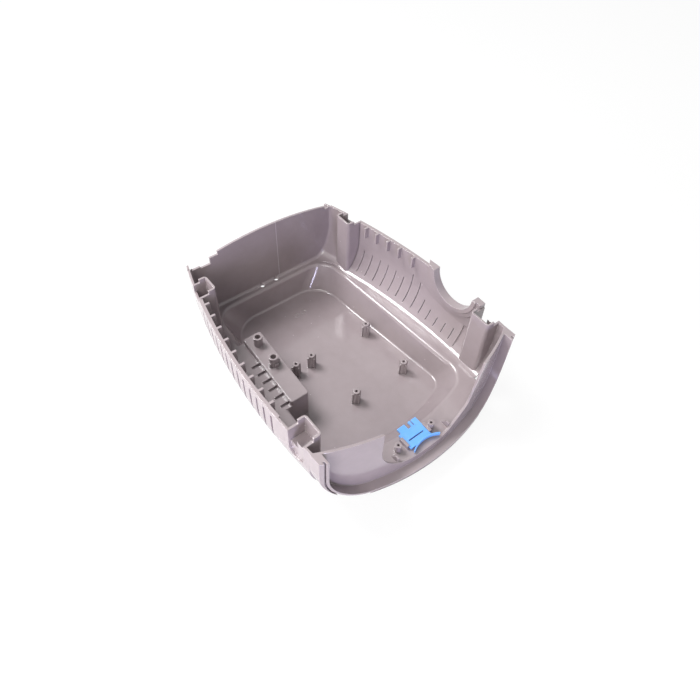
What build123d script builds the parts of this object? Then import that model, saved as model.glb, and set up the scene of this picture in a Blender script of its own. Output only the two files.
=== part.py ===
from build123d import *
from math import copysign, cos, radians, sin, sqrt, tan
import os

os.makedirs("parts", exist_ok=True)

# Frame: +X from the rear wall to the front flange, +Y to the side with the round notch, +Z up.
# The origin is under the middle of the part, on the plane that the basin's floor stands on.
# Sizes are in millimetres. Places along X are distances from the rear wall's inner face.

# overall sizes
wall_run = 270.7          # rear wall's inner face to the front wall's outer face, on the middle line
half_width = 115.7        # outer face of a side wall, at its widest
rim_height = 96.7         # top edge of the side walls and the front wall
tail = 8.0                # side walls, past the rear wall's inner face
tail_top = 95.5           # height of the side walls' ends behind the rear wall
flange_depth = 9.5        # front flange, past the front wall's outer face
wall = 2.2                # side, rear and front walls
rear_x = tail - (tail + wall_run + flange_depth) / 2


def at(distance):
    # X of a place that is this far in front of the rear wall's inner face
    return rear_x + distance


# side walls: arcs in plan, vertical above, curving inwards below
side_bow = 641.0          # radius of a side wall's outer face in plan
widest = 180.0            # where the part is widest
cove = 61.0               # inner radius of the wall's lower curve
cove_start = 70.5         # height at which that curve begins
cove_foot = 16.0          # round between that curve and the ledge
axis_y = side_bow - half_width

# ledge around the basin
ledge = 30.5
ledge_thickness = 2.5
rear_round = 3.5          # round between the rear wall and what it meets

# basin
floor_thickness = 2.5
basin_rear = 9.2
basin_rear_half = 73.0
basin_front_half = 85.5
basin_front_gap = 24.7    # basin's front edge to the front wall's outer face
basin_rear_corner = 20.0
basin_front_corner = 24.0
floor_rear = 13.5
floor_rear_half = 61.0
floor_front_half = 79.0
floor_front_gap = 44.7
floor_rear_corner = 36.0
floor_front_corner = 18.0
basin_wall = 2.4
basin_edge_round = 4.0    # round along the basin's upper edge
basin_foot_round = 3.0

# rear wall
arch_rise = 11.4
arch_step = (-55.0, -64.5, 99.7)      # from Y, to Y, height of the shallow step in the arch
arch_notch = (-64.5, -76.0, 92.0)     # the deeper notch beside it
arch_end = 94.0                       # height of the arch's left end
arch_right_end = (80.0, 95.4)         # where the right end drops, and to what height
ledge_hole_pitch = 18.6
ledge_hole = 5.0
ledge_hole_x = 2.2

# front wall and flange
front_bow = 248.3         # radius of the front wall's outer face in plan
front_axis = at(wall_run - front_bow)
flange_half = 112.9
flange_corner = 54.6
flange_bottom = 20.0
flange_sag = 2.5          # how much lower the flange is at the middle
flange_inner_half = 105.3
flange_inner_corner = 42.9
flange_inner_bottom = 24.4
groove_width = 1.6        # groove in the flange's end face
groove_depth = 2.5
groove_inset = 2.2        # groove to the flange's inner edge
# opening in the front wall: Y, height and corner radius of its lower corners, and Y at the rim
notch_left_rim = -54.5
notch_right_rim = 65.0
notch_corners = ((notch_left_rim, ledge, 37.0), (22.0, ledge, 24.0), (53.0, 48.5, 14.0))
skin_end = 240.0          # in front of this the side walls keep inside the flange's outline

# louvre panels in the side walls
panel_start = 43.0
panel_end = 198.0
panel_raise = 1.4
slit_first = 51.7
slit_pitch = 11.45
slit_width = 1.1
slit_bottom = 36.0
slit_tops = (62, 62, 62, 62, 62, 61, 72, 68, 53, 48, 46, 47, 49)
recess_width = 3.0        # recess around each slit, in the wall's outer face
recess_depth = 1.8
recess_bottom = 58.0
recess_top = 89.5

# teeth under the rim
tooth_width = 2.2
tooth_reach = 6.0         # past the wall's inner face
tooth_height = 13.0
teeth_right = (53.8, 68.4, 84.3, 99.8, 119.1)
teeth_left_first = 51.1
teeth_left_pitch = 16.4
teeth_left = 9

# round notch in the right wall, with its collar
round_x = 176.0
round_z = 102.0
round_radius = 26.4
collar_radius = 35.5
collar_reach = 5.2        # past the wall's inner face
collar_lip_radius = 30.5
collar_lip = 1.6          # how much further the collar's inner band stands out
collar_top = 102.0
saddle_radius = 48.0
saddle_reach = 2.6
collar_slope = 40         # angle of the collar's and the saddle's sloping edges

# corner pockets: start, end, inner face, where the plates step down to the rim, top, floor
pocket_wall = 2.0
pocket_lip = 89.0         # height of the outer wall where a pocket opens through it
pocket_round = 3.5
pocket_under = 12.0       # plastic left between the hollow below a pocket and the side wall's outer face
pockets_rear = (20.8, 42.0, 80.8, 89.0, 100.7, 72.0)
pockets_front = (211.5, 235.0, 95.5, 104.0, 101.7, 80.0)
pocket_recess_depth = 1.2 # recess in the side wall's outer face below a front pocket's mouth
pocket_recess_bottom = 66.0
pocket_recess_round = 8.0

# block on the left, with two screw bosses on it
block_start = 63.0
block_end = 158.0
block_rear_mid = -61.4
block_front_mid = -65.8
block_width = 21.0
block_top = 37.0
block_wall = 2.2
block_round = 2.5
block_edge_round = 1.2
block_boss_height = 12.0
block_boss = 9.6
block_boss_bore = 5.8
block_boss_depth = 10.0
block_bosses = (78.0, 109.0)
block_foot_span = 12.4    # cross-shaped foot of the front boss
block_foot_width = 4.0
block_foot_height = 5.5
comb_first = 95.8
comb_pitch = 11.2
comb_count = 6
comb_width = 1.0
comb_rise = 2.5           # above the ledge
comb_reach = 9.0

# ribbed screw bosses on the basin's floor: place along X, place along Y
ribbed_bosses = ((111.0, 55.3), (111.0, -19.0), (111.0, -39.0), (176.0, 54.0), (176.0, -9.7))
ribbed_height = 18.0
ribbed_core = 7.0
ribbed_bore = 3.0
ribbed_bore_depth = 14.0
ribbed_span = 11.0
ribbed_fin = 1.3
ribbed_fin_drop = 2.5     # fins' tops below the boss's top

# rings in the floor
ring_places = ((42.0, 9.5), (42.0, 18.9))
ring_radius = 3.2
ring_line = 0.7
ring_depth = 0.4

# latch and its seat, placed from the front wall's outer face
latch_mid = -2.75         # Y of the latch's middle line
latch_width = 26.0
latch_rear_gap = 30.7     # rear edge of the plate to the front wall's outer face
latch_front_gap = 7.2
latch_thickness = 2.0
latch_clearance = 0.4     # on each side, to the guide rails
latch_lift = 1.2          # runners that carry the plate above the ledge
latch_slit_gap = 14.8     # slit across the plate to the front wall's outer face
latch_slit_length = 18.0
latch_slit_width = 1.3
tab_length = 6.0
latch_tabs = ((-5.6, 9.0), (4.4, 2.4), (10.0, 6.0))   # middle from the latch's middle line, width
leaf_span = 31.0
leaf_bow = 4.4
leaf_mid = 0.7
leaf_width = 1.1
leaf_height = 4.2
rail_width = 2.0
rail_length = 10.5
rail_front_gap = 10.2
hook_reach = 1.1          # rail's hooked top, over the plate's edge
hook_thickness = 1.2
hook_clearance = 0.35     # hooked top to the plate
latch_boss = 6.6
latch_boss_bore = 2.6
latch_boss_height = 9.5
latch_boss_gap = 14.7     # boss to the front wall's outer face
latch_boss_offsets = (-9.75, 4.95)    # bosses beside the plate, past its edges
runner_offset = 8.0
runner_width = 1.6
gusset_offsets = (-17.75, 18.55)      # gussets beside the plate, past its edges
gusset_length = 10.0
gusset_height = 8.0
gusset_width = 1.6
gusset_gap = 4.5

far = 2 * (half_width + wall_run)


def side(distance):
    # outer half width of the part at a place along X
    run = distance - widest
    return half_width - side_bow + sqrt(side_bow**2 - run**2)


def trough(inset, low, high, foot_round=0.0):
    # space between the two side walls' faces, set in by inset, from one height to another
    face = side_bow - inset
    radius = cove + wall - inset
    foot = face - radius + sqrt(radius**2 - (cove_start - low)**2)
    core = axis_y - half_width / 2
    sweep_half = 35
    lean = (sin(radians(sweep_half)), cos(radians(sweep_half)))
    middle = (at(widest), -axis_y, 0)
    upright = Plane(origin=middle, x_dir=(*lean, 0), z_dir=(lean[1], -lean[0], 0))
    with BuildPart() as body:
        with BuildSketch(upright) as profile:
            with BuildLine():
                Polyline((foot, low), (core, low), (core, high), (face, high), (face, cove_start))
                RadiusArc((face, cove_start), (foot, low), radius)
            make_face()
            if foot_round:
                fillet(profile.vertices().sort_by_distance((foot, low, 0))[0], foot_round)
        revolve(axis=Axis(middle, (0, 0, 1)), revolution_arc=2 * sweep_half)
        split(bisect_by=Plane.XZ, keep=Keep.BOTTOM)
        mirror(about=Plane.XZ)
    return body.part


def skin(inset, high):
    # the side walls' outer surface down to the ledge, set in by inset, with its rounded foot
    share = inset / wall
    low = ledge - ledge_thickness * (1 - share)
    return trough(inset, low, high, cove_foot + wall - inset)


def inside_front(radius, back):
    # everything behind a front arc of this radius and in front of a plane at back
    with BuildPart() as body:
        with BuildSketch(Plane.XY):
            with Locations((front_axis, 0)):
                Circle(radius)
            with Locations((back + far, 0)):
                Rectangle(2 * far, far, mode=Mode.INTERSECT)
        extrude(amount=2 * rim_height)
    return body.part


def basin_outline(rear, rear_half, front_gap, front_half, rear_corner, front_corner, grow):
    # basin's plan: straight rear and sides, an arc in front, rounded corners
    front = front_bow - front_gap + grow
    back = at(rear) - grow
    run = front_axis + front - back
    slope = (front_half - rear_half) / run
    half = rear_half + grow
    corner_x = front_axis + sqrt(front**2 - (front_half + grow)**2)
    corner_half = half + slope * (corner_x - back)
    corner_x = front_axis + sqrt(front**2 - corner_half**2)
    corner_half = half + slope * (corner_x - back)
    corner_x = front_axis + sqrt(front**2 - corner_half**2)
    with BuildSketch() as plan:
        with BuildLine():
            Polyline((corner_x, -corner_half), (back, -half), (back, half), (corner_x, corner_half))
            ThreePointArc((corner_x, corner_half), (front_axis + front, 0), (corner_x, -corner_half))
        make_face()
        fillet(plan.vertices().group_by(Axis.X)[0], rear_corner + grow)
        fillet(plan.vertices().group_by(Axis.X)[-1], front_corner + grow)
    return plan.sketch


def basin_solid(grow, low):
    # basin's space, or the body around it when grow is its wall
    with BuildPart() as body:
        with BuildSketch(Plane.XY.offset(low)):
            add(basin_outline(floor_rear, floor_rear_half, floor_front_gap, floor_front_half,
                              floor_rear_corner, floor_front_corner, grow))
        with BuildSketch(Plane.XY.offset(ledge)):
            add(basin_outline(basin_rear, basin_rear_half, basin_front_gap, basin_front_half,
                              basin_rear_corner, basin_front_corner, grow))
        loft(ruled=True)
        fillet(body.faces().sort_by(Axis.Z)[0].edges(), basin_foot_round + grow / 2)
    return body.part


def basin_mouth():
    # basin's space with its upper edge rounded outwards
    with BuildPart() as body:
        add(basin_solid(0, floor_thickness))
        with BuildSketch(Plane.XY.offset(ledge)):
            add(basin_outline(basin_rear, basin_rear_half, basin_front_gap, basin_front_half,
                              basin_rear_corner, basin_front_corner, basin_edge_round))
        extrude(amount=ledge_thickness)
        rim = body.faces().filter_by(Axis.Z).sort_by(Axis.Z)[1]
        fillet(rim.inner_wires()[0].edges(), basin_edge_round)
    return body.part


def flange_outline(half, corner, bottom):
    # section across the part, as Y and Z: upright sides, large lower corners, a slightly sagging bottom
    with BuildSketch() as section:
        with BuildLine():
            Line((-half, rim_height), (-half, bottom + corner))
            RadiusArc((-half, bottom + corner), (corner - half, bottom), -corner)
            ThreePointArc((corner - half, bottom), (0, bottom - flange_sag), (half - corner, bottom))
            RadiusArc((half - corner, bottom), (half, bottom + corner), -corner)
            Polyline((half, bottom + corner), (half, rim_height), (-half, rim_height))
        make_face()
    return section.sketch


def slab(x_from, x_to, y_from, y_to, z_from, z_to):
    # plain box between two places along each axis
    with BuildPart() as body:
        with BuildSketch(Plane.XY.offset(z_from)):
            with Locations(((x_from + x_to) / 2, (y_from + y_to) / 2)):
                Rectangle(x_to - x_from, abs(y_to - y_from))
        extrude(amount=z_to - z_from)
    return body.part


def nose():
    # front wall and the flange around it, still without the front wall's opening
    back = at(wall_run) - 2 * flange_corner
    front = front_bow + flange_depth
    with BuildPart() as space:
        with BuildSketch(Plane.YZ):
            add(flange_outline(flange_inner_half, flange_inner_corner, flange_inner_bottom))
        extrude(amount=far)
        add(inside_front(front_bow, -far), mode=Mode.SUBTRACT)
    with BuildPart() as groove:
        grow = groove_inset + groove_width
        with BuildSketch(Plane.YZ):
            add(flange_outline(flange_inner_half + grow, flange_inner_corner + grow,
                               flange_inner_bottom - grow))
        extrude(amount=far)
        with BuildSketch(Plane.YZ):
            add(flange_outline(flange_inner_half + groove_inset, flange_inner_corner + groove_inset,
                               flange_inner_bottom - groove_inset))
        extrude(amount=far, mode=Mode.SUBTRACT)
        add(inside_front(front - groove_depth, -far), mode=Mode.SUBTRACT)
    with BuildPart() as body:
        with BuildSketch(Plane.YZ):
            add(flange_outline(flange_half, flange_corner, flange_bottom))
        extrude(amount=far)
        add(inside_front(front, back), mode=Mode.INTERSECT)
        add(inside_front(front_bow - wall, -far), mode=Mode.SUBTRACT)
        add(space.part, mode=Mode.SUBTRACT)
        add(groove.part, mode=Mode.SUBTRACT)
    return body.part


def front_opening():
    # space of the U-shaped opening in the front wall
    points = [(y, z) for y, z, radius in notch_corners]
    with BuildPart() as body:
        with BuildSketch(Plane.YZ.offset(at(wall_run) - flange_corner)) as outline:
            with BuildLine():
                Polyline((notch_left_rim, 2 * rim_height), (notch_left_rim, rim_height), *points,
                         (notch_right_rim, rim_height), (notch_right_rim, 2 * rim_height), close=True)
            make_face()
            for y, z, radius in notch_corners:
                corner = outline.vertices().sort_by_distance((y, z, 0))[0]
                fillet(corner, radius)
        extrude(amount=2 * flange_corner)
    return body.part


def rear_arch():
    # rear wall above the rim, with the steps at its ends
    half = side(0)
    with BuildPart() as body:
        with BuildSketch(Plane.YZ.offset(at(-wall))):
            with BuildLine():
                Polyline((half, rim_height), (half, rim_height - wall), (-half, rim_height - wall),
                         (-half, rim_height))
                ThreePointArc((-half, rim_height), (0, rim_height + arch_rise), (half, rim_height))
            make_face()
        extrude(amount=wall)
    return body.part


def round_step(radius, reach):
    # disc on the right wall with a sloping edge, reaching this far past the wall's inner face
    face = side(round_x) + wall
    depth = 2 * wall + reach
    base = radius + depth * tan(radians(collar_slope))
    with BuildPart() as body:
        with BuildSketch(Plane.XZ.offset(-face)):
            with Locations((at(round_x), round_z)):
                Circle(base)
        extrude(amount=depth, taper=collar_slope)
    return body.part


def round_collar():
    # collar and saddle around the round notch in the right wall
    with BuildPart() as body:
        add(round_step(saddle_radius, saddle_reach))
        add(slab(-far, far, 0, far, rim_height, 2 * far), mode=Mode.SUBTRACT)
        add(round_step(collar_radius, collar_reach))
        add(round_step(collar_lip_radius, collar_reach + collar_lip))
        add(trough(0, ledge, collar_top), mode=Mode.INTERSECT)
        add(slab(at(0), at(pockets_front[0] + 1), 0, far, 0, far), mode=Mode.INTERSECT)
    return body.part


def round_space():
    with BuildPart() as body:
        with BuildSketch(Plane.XZ.offset(-far)):
            with Locations((at(round_x), round_z)):
                Circle(round_radius)
        extrude(amount=far - side(round_x) / 2)
    return body.part


def pocket_plan(hand, start, end, inner, inset):
    # plan of a corner pocket, running out past the side wall
    out = hand * (half_width + 3 * wall)
    near = hand * (inner + inset)
    with BuildSketch() as plan:
        with BuildLine():
            Polyline((at(start + inset), near), (at(end - inset), near), (at(end - inset), out),
                     (at(start + inset), out), close=True)
        make_face()
        corners = plan.vertices().sort_by(Axis.Y, reverse=hand < 0)[0:2]
        fillet(corners, pocket_round - inset)
    return plan.sketch


def pocket_block(hand, start, end, inner, step, top, floor):
    # body of a corner pocket, before its space is cut
    with BuildPart() as body:
        with BuildSketch(Plane.XY.offset(ledge - ledge_thickness)):
            add(pocket_plan(hand, start, end, inner, 0))
        extrude(amount=top - ledge + ledge_thickness)
        add(slab(-far, far, hand * step, hand * far, rim_height, far), mode=Mode.SUBTRACT)
        add(skin(0, top), mode=Mode.INTERSECT)
    return body.part


def pocket_space(hand, start, end, inner, step, top, floor):
    # space inside a corner pocket, its mouth through the side wall, and the hollow below its floor
    left = at(start + pocket_wall)
    right = at(end - pocket_wall)
    near = hand * (inner + pocket_wall)
    with BuildPart() as body:
        with BuildSketch(Plane.XY.offset(floor)):
            add(pocket_plan(hand, start, end, inner, pocket_wall))
        extrude(amount=far)
        add(trough(wall, ledge, floor + far), mode=Mode.INTERSECT)
        add(slab(left, right, near, hand * far, pocket_lip, far))
        add(slab(left, right, near, hand * (side(start) - pocket_under), 0, floor - pocket_wall))
    return body.part


def pocket_recess(hand, start, end, inner, step, top, floor):
    # shallow recess with round lower corners in the side wall's outer face, up to the pocket's mouth
    with BuildPart() as body:
        with BuildSketch(Plane.XZ) as outline:
            with Locations((at((start + end) / 2), (pocket_recess_bottom + rim_height) / 2)):
                Rectangle(end - start - 2 * pocket_wall, rim_height - pocket_recess_bottom)
            fillet(outline.vertices().group_by(Axis.Z)[0], pocket_recess_round)
        extrude(amount=far, both=True)
        add(slab(-far, far, -hand * far, hand * (side(end) - pocket_recess_depth), 0, far), mode=Mode.SUBTRACT)
    return body.part


def block_plan(inset):
    # plan of the block on the left: a slightly turned rectangle
    half = block_width / 2 - inset
    with BuildSketch() as plan:
        with BuildLine():
            Polyline((at(block_start + inset), block_rear_mid - half),
                     (at(block_end - inset), block_front_mid - half),
                     (at(block_end - inset), block_front_mid + half),
                     (at(block_start + inset), block_rear_mid + half), close=True)
        make_face()
        fillet(plan.vertices(), block_round - inset / 2)
    return plan.sketch


def shelf_plan(inset):
    # plan of the shelf that closes the gap between the block and the basin's left edge
    with BuildSketch() as plan:
        with BuildLine():
            Polyline(*[(at(place), y) for place, y in (
                (block_start + inset, block_mid(block_start) - block_width / 2 + block_wall - inset),
                (block_end - inset, block_mid(block_end) - block_width / 2 + block_wall - inset),
                (block_end - inset, -basin_half(block_end) - 2 * basin_edge_round),
                (block_start + inset, -basin_half(block_start) - 2 * basin_edge_round))], close=True)
        make_face()
    return plan.sketch


def basin_half(distance):
    # half the basin's width at the ledge, at a place along X
    run = wall_run - basin_front_gap - basin_rear
    return basin_rear_half + (basin_front_half - basin_rear_half) * (distance - basin_rear) / run


def block_mid(distance):
    # Y of the block's middle line at a place along X
    share = (distance - block_start) / (block_end - block_start)
    return block_rear_mid + share * (block_front_mid - block_rear_mid)


def screw_boss(x, y, base, height, outer, bore, depth):
    # upright boss with a blind hole from its top
    with BuildPart() as body:
        with BuildSketch(Plane.XY.offset(base)):
            with Locations((x, y)):
                Circle(outer / 2)
        extrude(amount=height)
        with BuildSketch(Plane.XY.offset(base + height - depth)):
            with Locations((x, y)):
                Circle(bore / 2)
        extrude(amount=depth, mode=Mode.SUBTRACT)
    return body.part


def ribbed_boss(x, y):
    # slim boss with four upright fins
    base = floor_thickness
    with BuildPart() as body:
        with BuildSketch(Plane.XY.offset(base)):
            with Locations((x, y)):
                Rectangle(ribbed_span, ribbed_fin)
                Rectangle(ribbed_fin, ribbed_span)
        extrude(amount=ribbed_height - ribbed_fin_drop)
        add(screw_boss(x, y, base, ribbed_height, ribbed_core, ribbed_bore, ribbed_bore_depth))
        with BuildSketch(Plane.XY.offset(base + ribbed_height - ribbed_bore_depth)):
            with Locations((x, y)):
                Circle(ribbed_bore / 2)
        extrude(amount=ribbed_bore_depth, mode=Mode.SUBTRACT)
    return body.part


def beside_latch(past):
    # Y of a place this far past the latch plate's edge, on the side that the sign gives
    return latch_mid + copysign(latch_width / 2, past) + past


def guide_rail(hand):
    # rail beside the latch, hooked over the plate's edge
    inner = latch_width / 2 + latch_clearance
    top = latch_lift + latch_thickness + hook_clearance
    front = at(wall_run - rail_front_gap)
    with BuildPart() as body:
        near = latch_mid + hand * inner
        add(slab(front - rail_length, front, near, near + hand * rail_width, ledge - 1, ledge + top))
        add(slab(front - rail_length, front, near - hand * hook_reach, near + hand * rail_width,
                 ledge + top, ledge + top + hook_thickness))
    return body.part


def gusset(y):
    # upright triangular tab on the ledge, behind the front wall
    front = at(wall_run - gusset_gap)
    with BuildPart() as body:
        with BuildSketch(Plane.XZ.offset(-y - gusset_width / 2)):
            with BuildLine():
                Polyline((front, ledge - 1), (front, ledge + gusset_height),
                         (front - 2 * gusset_width, ledge + gusset_height),
                         (front - gusset_length, ledge - 1), close=True)
            make_face()
        extrude(amount=gusset_width)
    return body.part


def slits():
    # louvre slits through both panels, with a recess around each in the outer face
    with BuildPart() as body:
        for number, top in enumerate(slit_tops):
            place = slit_first + number * slit_pitch
            x = at(place)
            face = side(place)
            for hand in (1, -1):
                add(slab(x - slit_width / 2, x + slit_width / 2, hand * (face - cove / 2),
                         hand * (face + wall), slit_bottom, top))
                if hand < 0 or place < round_x - saddle_radius:
                    add(slab(x - recess_width / 2, x + recess_width / 2, hand * (face - recess_depth),
                             hand * (face + wall), recess_bottom, recess_top))
    return body.part


def rim_teeth():
    # short upright ribs on the inside of the side walls, under the rim
    left = [(-1, teeth_left_first + number * teeth_left_pitch) for number in range(teeth_left)]
    with BuildPart() as body:
        for hand, place in [(1, place) for place in teeth_right] + left:
            face = side(place) - wall
            add(slab(at(place) - tooth_width / 2, at(place) + tooth_width / 2, hand * (face + wall / 2),
                     hand * (face - tooth_reach), rim_height - tooth_height, rim_height))
    return body.part


def block():
    # block with its two bosses, the shelf beside it and the comb of ribs on that
    with BuildPart() as body:
        with BuildSketch(Plane.XY):
            add(block_plan(0))
        extrude(amount=block_top)
        fillet(body.faces().sort_by(Axis.Z)[-1].edges(), block_edge_round)
        with BuildSketch(Plane.XY):
            add(shelf_plan(0))
        extrude(amount=ledge)
        with BuildSketch(Plane.XY.offset(block_top)):
            with Locations((at(block_bosses[1]), block_mid(block_bosses[1]))):
                Rectangle(block_foot_span, block_foot_width)
                Rectangle(block_foot_width, block_foot_span)
        extrude(amount=block_foot_height)
        for place in block_bosses:
            spot = (at(place), block_mid(place))
            with BuildSketch(Plane.XY.offset(block_top)):
                with Locations(spot):
                    Circle(block_boss / 2)
            extrude(amount=block_boss_height)
            with BuildSketch(Plane.XY.offset(block_top + block_boss_height - block_boss_depth)):
                with Locations(spot):
                    Circle(block_boss_bore / 2)
            extrude(amount=block_boss_depth, mode=Mode.SUBTRACT)
        for number in range(comb_count):
            place = comb_first + number * comb_pitch
            edge = block_mid(place) - block_width / 2
            add(slab(at(place) - comb_width / 2, at(place) + comb_width / 2, edge + block_wall,
                     edge - comb_reach, ledge, ledge + comb_rise))
    return body.part


def block_hollow():
    # space inside the block and under the shelf beside it, open underneath
    with BuildPart() as body:
        with BuildSketch(Plane.XY):
            add(block_plan(block_wall))
        extrude(amount=block_top - block_wall)
        with BuildSketch(Plane.XY):
            add(shelf_plan(block_wall))
        extrude(amount=ledge - ledge_thickness)
    return body.part


def latch_seat():
    # guide rails, runners, screw bosses and gussets around the latch
    front = at(wall_run - rail_front_gap)
    with BuildPart() as body:
        for hand in (1, -1):
            runner = latch_mid + hand * runner_offset
            add(guide_rail(hand))
            add(slab(front - rail_length, front, runner - runner_width / 2, runner + runner_width / 2,
                     ledge - 1, ledge + latch_lift))
        for past in latch_boss_offsets:
            add(screw_boss(at(wall_run - latch_boss_gap), beside_latch(past), ledge, latch_boss_height, latch_boss,
                           latch_boss_bore, latch_boss_height - 1))
        for past in gusset_offsets:
            add(gusset(beside_latch(past)))
    return body.part


def holes():
    # pair of holes through the ledge, and two shallow rings in the floor
    with BuildPart() as body:
        with BuildSketch(Plane.XY.offset(ledge - ledge_thickness)):
            with Locations((at(ledge_hole_x), 0)):
                with GridLocations(0, ledge_hole_pitch, 1, 2):
                    Circle(ledge_hole / 2)
        extrude(amount=ledge_thickness + rear_round)
        with BuildSketch(Plane.XY.offset(floor_thickness - ring_depth)):
            with Locations(*[(at(along), across) for along, across in ring_places]):
                Circle(ring_radius)
                Circle(ring_radius - ring_line, mode=Mode.SUBTRACT)
        extrude(amount=ring_depth)
    return body.part


def behind_rear_wall():
    # space between the side walls' tails, and above them
    with BuildPart() as body:
        add(trough(wall, ledge - ledge_thickness, far))
        add(slab(-far, far, -far, far, tail_top, far))
        add(slab(-far, at(-wall), -far, far, 0, far), mode=Mode.INTERSECT)
    return body.part


def inner_space():
    # space above the ledge, with a round where the rear wall meets the ledge and the side walls
    with BuildPart() as body:
        add(skin(wall, 2 * rim_height))
        add(inside_front(front_bow - wall, at(0)), mode=Mode.INTERSECT)
        rear = body.faces().sort_by(Axis.X)[0]
        fillet(rear.edges().sort_by(Axis.Z)[:-1], rear_round)
    return body.part


def beside_flange():
    # what lies outside the flange's outline at the front ends of the side walls
    with BuildPart() as body:
        add(slab(at(skin_end), far, -far, far, 0, far))
        with BuildSketch(Plane.YZ.offset(at(skin_end))):
            add(flange_outline(flange_half, flange_corner, flange_bottom))
        extrude(amount=far, mode=Mode.SUBTRACT)
    return body.part


def panels():
    # raised panels that carry the louvres
    with BuildPart() as body:
        add(skin(wall / 2, rim_height))
        add(slab(at(panel_start), at(panel_end), -far, far, ledge, far), mode=Mode.INTERSECT)
        add(trough(wall + panel_raise, ledge, far), mode=Mode.SUBTRACT)
    return body.part


def rear_steps():
    # what the steps take from the rear wall's top edge
    steps = (arch_step, arch_notch, (arch_notch[1], -far, arch_end), (arch_right_end[0], far, arch_right_end[1]))
    with BuildPart() as body:
        for first, last, height in steps:
            add(slab(at(-wall), at(0), min(first, last), max(first, last), height, far))
    return body.part


pockets = [(hand, *pocket) for hand in (1, -1) for pocket in (pockets_rear, pockets_front)]

with BuildPart() as housing:
    add(skin(0, rim_height))
    add(inside_front(front_bow, at(-tail)), mode=Mode.INTERSECT)
    add(beside_flange(), mode=Mode.SUBTRACT)
    add(nose())
    add(inner_space(), mode=Mode.SUBTRACT)
    add(behind_rear_wall(), mode=Mode.SUBTRACT)
    add(front_opening(), mode=Mode.SUBTRACT)
    add(basin_solid(basin_wall, 0))
    add(basin_mouth(), mode=Mode.SUBTRACT)
    add(rear_arch())
    add(rear_steps(), mode=Mode.SUBTRACT)
    add(panels())
    add(round_collar())
    add(round_space(), mode=Mode.SUBTRACT)
    add([pocket_block(*pocket) for pocket in pockets])
    add([pocket_space(*pocket) for pocket in pockets], mode=Mode.SUBTRACT)
    add([pocket_recess(hand, *pockets_front) for hand in (1, -1)], mode=Mode.SUBTRACT)
    add(block())
    add(block_hollow(), mode=Mode.SUBTRACT)
    add([ribbed_boss(at(along), across) for along, across in ribbed_bosses])
    add(rim_teeth())
    add(latch_seat())
    add(holes(), mode=Mode.SUBTRACT)
    add(slits(), mode=Mode.SUBTRACT)
housing.part.label = "housing"
export_step(housing.part, "parts/housing.step")

with BuildPart() as latch:
    seat = ledge + latch_lift
    plate_rear = at(wall_run - latch_rear_gap)
    plate_front = at(wall_run - latch_front_gap)
    slit_x = at(wall_run - latch_slit_gap)
    add(slab(plate_rear + tab_length, plate_front, latch_mid - latch_width / 2,
             latch_mid + latch_width / 2, seat, seat + latch_thickness))
    for y, width in latch_tabs:
        add(slab(plate_rear, plate_rear + 2 * tab_length, latch_mid + y - width / 2,
                 latch_mid + y + width / 2, seat, seat + latch_thickness))
    add(slab(slit_x - latch_slit_width / 2, slit_x + latch_slit_width / 2,
             latch_mid - latch_slit_length / 2, latch_mid + latch_slit_length / 2, seat, far),
        mode=Mode.SUBTRACT)
    # bowed leaf spring across the front edge
    with BuildSketch(Plane.XY.offset(seat)):
        with BuildLine():
            tip = plate_front + leaf_bow - leaf_width / 2
            ThreePointArc((tip, leaf_mid - leaf_span / 2), (plate_front - leaf_width / 2, leaf_mid),
                          (tip, leaf_mid + leaf_span / 2))
            offset(amount=leaf_width / 2, side=Side.BOTH)
        make_face()
    extrude(amount=leaf_height)
latch.part.label = "latch"
export_step(latch.part, "parts/latch.step")
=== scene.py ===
import math

import bpy
from mathutils import Matrix, Vector

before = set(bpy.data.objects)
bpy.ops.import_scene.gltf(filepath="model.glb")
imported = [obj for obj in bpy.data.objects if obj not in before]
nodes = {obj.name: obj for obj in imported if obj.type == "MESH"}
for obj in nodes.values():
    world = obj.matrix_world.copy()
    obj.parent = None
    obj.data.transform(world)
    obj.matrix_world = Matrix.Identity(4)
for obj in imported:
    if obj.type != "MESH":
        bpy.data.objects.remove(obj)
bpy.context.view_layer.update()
scene = bpy.context.scene
print("frame loaded:", sorted(nodes))

mm = 0.001


def linear(hexColour):
    # sRGB hex to a linear colour with full alpha
    parts = [int(hexColour[i:i + 2], 16) / 255 for i in (1, 3, 5)]
    return tuple(c / 12.92 if c <= 0.04045 else ((c + 0.055) / 1.055) ** 2.4 for c in parts) + (1.0,)


def addNode(tree, kind, settings=None, links=None):
    # a setting names a property of the node or one of its sockets, and a link gives a socket its source
    node = tree.nodes.new(kind)
    for key, value in (settings or {}).items():
        if isinstance(key, str) and hasattr(node, key):
            setattr(node, key, value)
        else:
            node.inputs[key].default_value = value
    for key, source in (links or {}).items():
        tree.links.new(source, node.inputs[key])
    return node


def newMaterial(name):
    material = bpy.data.materials.new(name)
    material.use_nodes = True
    material.node_tree.nodes.clear()
    return material, material.node_tree


# camera: where it looks, from where, and how much of the picture it takes in
viewpoint = {
    "azimuth": 50.2555,        # degrees, 0 looks along +Y
    "elevation": 50.8578,
    "roll": 2.50984,
    "target": (6.659 * mm, 1.904 * mm, 45.5 * mm),
    "distance": 600.092 * mm,
    "lens": 30.47,             # mm
    "sensor": 36,              # mm
    "shift": (0.00551, -0.0006),
    "clip": (0.01, 50),        # metres
}


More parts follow.
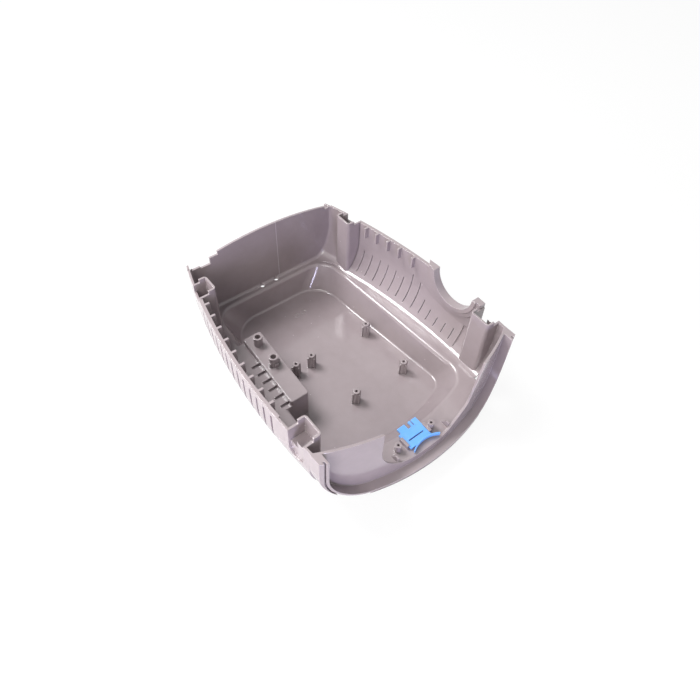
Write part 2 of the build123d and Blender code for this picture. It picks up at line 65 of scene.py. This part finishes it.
def placeCamera():
    azimuth, elevation, roll = [math.radians(viewpoint[k]) for k in ("azimuth", "elevation", "roll")]
    ahead = Vector((-math.sin(azimuth) * math.cos(elevation), math.cos(azimuth) * math.cos(elevation),
                    -math.sin(elevation)))
    right = Vector((math.cos(azimuth), math.sin(azimuth), 0))
    up = right.cross(ahead)
    turnedRight = math.cos(roll) * right + math.sin(roll) * up
    turnedUp = math.cos(roll) * up - math.sin(roll) * right
    data = bpy.data.cameras.new("camera")
    data.sensor_width = viewpoint["sensor"]
    data.lens = viewpoint["lens"]
    data.shift_x, data.shift_y = viewpoint["shift"]
    data.clip_start, data.clip_end = viewpoint["clip"]
    camera = bpy.data.objects.new("camera", data)
    scene.collection.objects.link(camera)
    matrix = Matrix((turnedRight, turnedUp, -ahead)).transposed().to_4x4()
    matrix.translation = Vector(viewpoint["target"]) - viewpoint["distance"] * ahead
    camera.matrix_world = matrix
    scene.camera = camera


placeCamera()
print("camera placed")

# soft boxes: from where they shine (degrees round and above), distance and size in metres, watts, tint
lamps = {
    "window": {"azimuth": -64, "elevation": 56, "distance": 1.5, "size": 0.62, "watts": 26, "tint": "#ffffff"},
    "left": {"azimuth": 18, "elevation": 40, "distance": 1.5, "size": 0.9, "watts": 15, "tint": "#fffdf8"},
    "leftLow": {"azimuth": -8, "elevation": 12, "distance": 1.4, "size": 0.5, "watts": 9, "tint": "#fbf8ff"},
    "front": {"azimuth": 66, "elevation": 5, "distance": 1.3, "size": 0.22, "watts": 7, "tint": "#dad6ff"},
}


def addLamps():
    aim = Vector(viewpoint["target"])
    for name, lamp in lamps.items():
        azimuth, elevation = math.radians(lamp["azimuth"]), math.radians(lamp["elevation"])
        away = Vector((math.sin(azimuth) * math.cos(elevation), -math.cos(azimuth) * math.cos(elevation),
                       math.sin(elevation)))
        data = bpy.data.lights.new(name, "AREA")
        data.shape = "SQUARE"
        data.size = lamp["size"]
        data.energy = lamp["watts"]
        data.color = linear(lamp["tint"])[:3]
        light = bpy.data.objects.new(name, data)
        scene.collection.objects.link(light)
        light.location = aim + away * lamp["distance"]
        light.rotation_mode = "QUATERNION"
        light.rotation_quaternion = (-away).to_track_quat("-Z", "Y")


addLamps()

# surroundings: an even pale room, seen as plain white
surroundings = {
    "room": "#ffffff",
    "roomStrength": 0.34,
    "floor": "#f4f4f4",
    "floorHalf": 2.5,          # metres
    "floorWhite": 0.9,         # how much of the floor's own look is plain white
}


def seenAsWhite(tree):
    # 1 for rays from the camera and for mirrored ones, so that both meet plain white
    path = addNode(tree, "ShaderNodeLightPath")
    return addNode(tree, "ShaderNodeMath", {"operation": "MAXIMUM"},
                   {0: path.outputs["Is Camera Ray"], 1: path.outputs["Is Glossy Ray"]})


def makeWorld():
    world = bpy.data.worlds.new("room")
    world.use_nodes = True
    tree = world.node_tree
    tree.nodes.clear()
    soft = addNode(tree, "ShaderNodeBackground", {"Color": linear(surroundings["room"]),
                                                  "Strength": surroundings["roomStrength"]})
    white = addNode(tree, "ShaderNodeBackground", {"Color": linear("#ffffff"), "Strength": 1.0})
    mix = addNode(tree, "ShaderNodeMixShader", None,
                  {0: seenAsWhite(tree).outputs[0], 1: soft.outputs[0], 2: white.outputs[0]})
    addNode(tree, "ShaderNodeOutputWorld", None, {"Surface": mix.outputs[0]})
    scene.world = world


def makeFloor():
    half = surroundings["floorHalf"]
    mesh = bpy.data.meshes.new("floor")
    corners = [(-half, -half, 0), (half, -half, 0), (half, half, 0), (-half, half, 0)]
    mesh.from_pydata(corners, [], [(0, 1, 2, 3)])
    floor = bpy.data.objects.new("floor", mesh)
    scene.collection.objects.link(floor)
    material, tree = newMaterial("matt_paper")
    matt = addNode(tree, "ShaderNodeBsdfDiffuse", {"Color": linear(surroundings["floor"])})
    white = addNode(tree, "ShaderNodeEmission", {"Color": linear("#ffffff"), "Strength": 1.0})
    share = addNode(tree, "ShaderNodeMath", {"operation": "MULTIPLY", 1: surroundings["floorWhite"]},
                    {0: seenAsWhite(tree).outputs[0]})
    mix = addNode(tree, "ShaderNodeMixShader", None,
                  {0: share.outputs[0], 1: matt.outputs[0], 2: white.outputs[0]})
    addNode(tree, "ShaderNodeOutputMaterial", None, {"Surface": mix.outputs[0]})
    mesh.materials.append(material)


makeWorld()
makeFloor()
print("floor, room and lamps ready")

# ABS, injection moulded in a polished tool: glossy, with faint flow marks, fine haze and some dust, and a
# painted highlight along its rounded edges
housingFinish = {
    "light": "#998e91",
    "deep": "#8f8487",
    # edge: lighter colour painted along rounded edges as a highlight, also used for the weld line's mark
    "edge": "#c9c1c3",
    "edgeHighlightShare": 0.75,         # how far a rounded edge goes towards its lighter colour, a painted highlight
    "edgeRound": 0.7 * mm,     # moulded edges aren't sharp
    "roughness": (0.08, 0.16),
    "ior": 1.57,
    "flowSize": 60 * mm,       # the melt's flow marks, drawn out along the part
    "flowStretch": 0.35,
    "flowDepth": 0.3 * mm,
    "flowBump": 0.16,
    "mottleSize": 9 * mm,
    "mottleShare": 0.35,
    "colourSpan": (0.45, 0.9), # sum of both patterns at the deep and at the light colour
    "grainSize": 0.9 * mm,     # the real haze is finer, drawn coarser so that it shows
    "grainDepth": 0.05 * mm,
    "grainBump": 0.04,
    "speck": "#cfc8c8",
    "speckSpacing": 14 * mm,
    "speckReach": (0.02, 0.035),   # solid and faded edge of a dust speck, as shares of their spacing
    "weldLine": 15.5 * mm,     # Y of the weld line in the rear wall, where two flows met
    "weldWidth": 0.35 * mm,
    "weldShare": 0.6,
    "rearFace": -136.0 * mm,   # the rear wall is behind this X
}

# acetal, injection moulded: even light blue, waxy satin, with a painted highlight along its rounded edges
latchFinish = {
    "light": "#74acf0",
    "deep": "#5f9fe6",
    # edge and edgeHighlightShare: lighter colour painted along rounded edges as a highlight
    "edge": "#b5d9ff",
    "edgeHighlightShare": 0.8,
    "edgeRound": 0.35 * mm,
    "roughness": (0.3, 0.42),
    "ior": 1.48,
    "mottleSize": 6 * mm,
    "grainSize": 0.7 * mm,     # drawn coarser than the real one too
    "grainDepth": 0.04 * mm,
    "grainBump": 0.15,
    "glow": 0.08,              # share of light that enters and comes out again
    "glowDepth": 1.5 * mm,
}

noiseSpan = (0.3, 0.7)         # what a noise pattern mostly stays between
edgeFacing = (0.97, 0.7)       # cosine between a rounded edge's normal and its face's, where it starts and ends


def roundEdgesAndPaintHighlight(tree, finish, body):
    # rounded normals along edges, and a painted highlight: a lighter colour along those rounded edges
    rounded = addNode(tree, "ShaderNodeBevel", {"samples": 6, "Radius": finish["edgeRound"]})
    flat = addNode(tree, "ShaderNodeNewGeometry")
    facing = addNode(tree, "ShaderNodeVectorMath", {"operation": "DOT_PRODUCT"},
                     {0: rounded.outputs[0], 1: flat.outputs["Normal"]})
    start, end = edgeFacing
    edge = addNode(tree, "ShaderNodeMapRange",
                   {"From Min": start, "From Max": end, "To Max": finish["edgeHighlightShare"]},
                   {"Value": facing.outputs["Value"]})
    colour = addNode(tree, "ShaderNodeMix", {"data_type": "RGBA", 7: linear(finish["edge"])},
                     {0: edge.outputs[0], 6: body})
    return rounded.outputs[0], colour.outputs[2]


def unevenGloss(tree, finish, pattern):
    # roughness that follows a noise pattern from the finish's lower to its upper value
    low, high = finish["roughness"]
    gloss = addNode(tree, "ShaderNodeMapRange",
                    {"From Min": noiseSpan[0], "From Max": noiseSpan[1], "To Min": low, "To Max": high},
                    {"Value": pattern})
    return gloss.outputs[0]


def addDust(tree, finish, place, body):
    # scattered pale specks
    cells = addNode(tree, "ShaderNodeTexVoronoi", {"Scale": 1 / finish["speckSpacing"], "Randomness": 1.0},
                    {"Vector": place})
    solid, faded = finish["speckReach"]
    speck = addNode(tree, "ShaderNodeMapRange", {"From Min": faded, "From Max": solid},
                    {"Value": cells.outputs["Distance"]})
    dusty = addNode(tree, "ShaderNodeMix", {"data_type": "RGBA", 7: linear(finish["speck"])},
                    {0: speck.outputs[0], 6: body})
    return dusty.outputs[2]


def addWeldLine(tree, finish, place, body):
    # hair-fine upright mark on the rear wall
    split = addNode(tree, "ShaderNodeSeparateXYZ", None, {0: place})
    near = addNode(tree, "ShaderNodeMath",
                   {"operation": "COMPARE", 1: finish["weldLine"], 2: finish["weldWidth"]},
                   {0: split.outputs["Y"]})
    behind = addNode(tree, "ShaderNodeMath", {"operation": "LESS_THAN", 1: finish["rearFace"]},
                     {0: split.outputs["X"]})
    weld = addNode(tree, "ShaderNodeMath", {"operation": "MULTIPLY"},
                   {0: near.outputs[0], 1: behind.outputs[0]})
    share = addNode(tree, "ShaderNodeMath", {"operation": "MULTIPLY", 1: finish["weldShare"]},
                    {0: weld.outputs[0]})
    marked = addNode(tree, "ShaderNodeMix", {"data_type": "RGBA", 7: linear(finish["edge"])},
                     {0: share.outputs[0], 6: body})
    return marked.outputs[2]


def makeHousingPlastic():
    finish = housingFinish
    material, tree = newMaterial("moulded_abs_warm_grey")
    place = addNode(tree, "ShaderNodeTexCoord").outputs["Object"]
    stretched = addNode(tree, "ShaderNodeMapping", {"Scale": (finish["flowStretch"], 1.0, 1.0)},
                        {"Vector": place})
    flow = addNode(tree, "ShaderNodeTexNoise",
                   {"Scale": 1 / finish["flowSize"], "Detail": 3.0, "Distortion": 0.6},
                   {"Vector": stretched.outputs[0]})
    mottle = addNode(tree, "ShaderNodeTexNoise", {"Scale": 1 / finish["mottleSize"], "Detail": 4.0},
                     {"Vector": place})
    grain = addNode(tree, "ShaderNodeTexNoise", {"Scale": 1 / finish["grainSize"], "Detail": 2.0},
                    {"Vector": place})
    both = addNode(tree, "ShaderNodeMath", {"operation": "MULTIPLY_ADD", 1: finish["mottleShare"]},
                   {0: mottle.outputs[0], 2: flow.outputs[0]})
    spread = addNode(tree, "ShaderNodeMapRange",
                     {"From Min": finish["colourSpan"][0], "From Max": finish["colourSpan"][1]},
                     {"Value": both.outputs[0]})
    body = addNode(tree, "ShaderNodeMix",
                   {"data_type": "RGBA", 6: linear(finish["deep"]), 7: linear(finish["light"])},
                   {0: spread.outputs[0]})
    dusty = addDust(tree, finish, place, body.outputs[2])
    rounded, edged = roundEdgesAndPaintHighlight(tree, finish, dusty)
    colour = addWeldLine(tree, finish, place, edged)
    haze = addNode(tree, "ShaderNodeBump", {"Strength": finish["grainBump"], "Distance": finish["grainDepth"]},
                   {"Height": grain.outputs[0], "Normal": rounded})
    wave = addNode(tree, "ShaderNodeBump", {"Strength": finish["flowBump"], "Distance": finish["flowDepth"]},
                   {"Height": flow.outputs[0], "Normal": haze.outputs[0]})
    plastic = addNode(tree, "ShaderNodeBsdfPrincipled", {"IOR": finish["ior"], "Metallic": 0.0},
                      {"Base Color": colour, "Roughness": unevenGloss(tree, finish, mottle.outputs[0]),
                       "Normal": wave.outputs[0]})
    addNode(tree, "ShaderNodeOutputMaterial", None, {"Surface": plastic.outputs[0]})
    return material


def makeLatchPlastic():
    finish = latchFinish
    material, tree = newMaterial("moulded_acetal_light_blue")
    place = addNode(tree, "ShaderNodeTexCoord").outputs["Object"]
    mottle = addNode(tree, "ShaderNodeTexNoise", {"Scale": 1 / finish["mottleSize"], "Detail": 3.0},
                     {"Vector": place})
    grain = addNode(tree, "ShaderNodeTexNoise", {"Scale": 1 / finish["grainSize"], "Detail": 2.0},
                    {"Vector": place})
    body = addNode(tree, "ShaderNodeMix",
                   {"data_type": "RGBA", 6: linear(finish["deep"]), 7: linear(finish["light"])},
                   {0: mottle.outputs[0]})
    rounded, colour = roundEdgesAndPaintHighlight(tree, finish, body.outputs[2])
    haze = addNode(tree, "ShaderNodeBump", {"Strength": finish["grainBump"], "Distance": finish["grainDepth"]},
                   {"Height": grain.outputs[0], "Normal": rounded})
    plastic = addNode(tree, "ShaderNodeBsdfPrincipled",
                      {"IOR": finish["ior"], "Subsurface Weight": finish["glow"],
                       "Subsurface Scale": finish["glowDepth"]},
                      {"Base Color": colour, "Roughness": unevenGloss(tree, finish, mottle.outputs[0]),
                       "Normal": haze.outputs[0]})
    addNode(tree, "ShaderNodeOutputMaterial", None, {"Surface": plastic.outputs[0]})
    return material


def finishNode(name, material):
    slots = nodes[name].material_slots
    if not slots:
        nodes[name].data.materials.append(material)
    for slot in nodes[name].material_slots:
        slot.material = material


finishNode("housing", makeHousingPlastic())
finishNode("latch", makeLatchPlastic())
print("materials ready")

scene.view_settings.view_transform = "Standard"
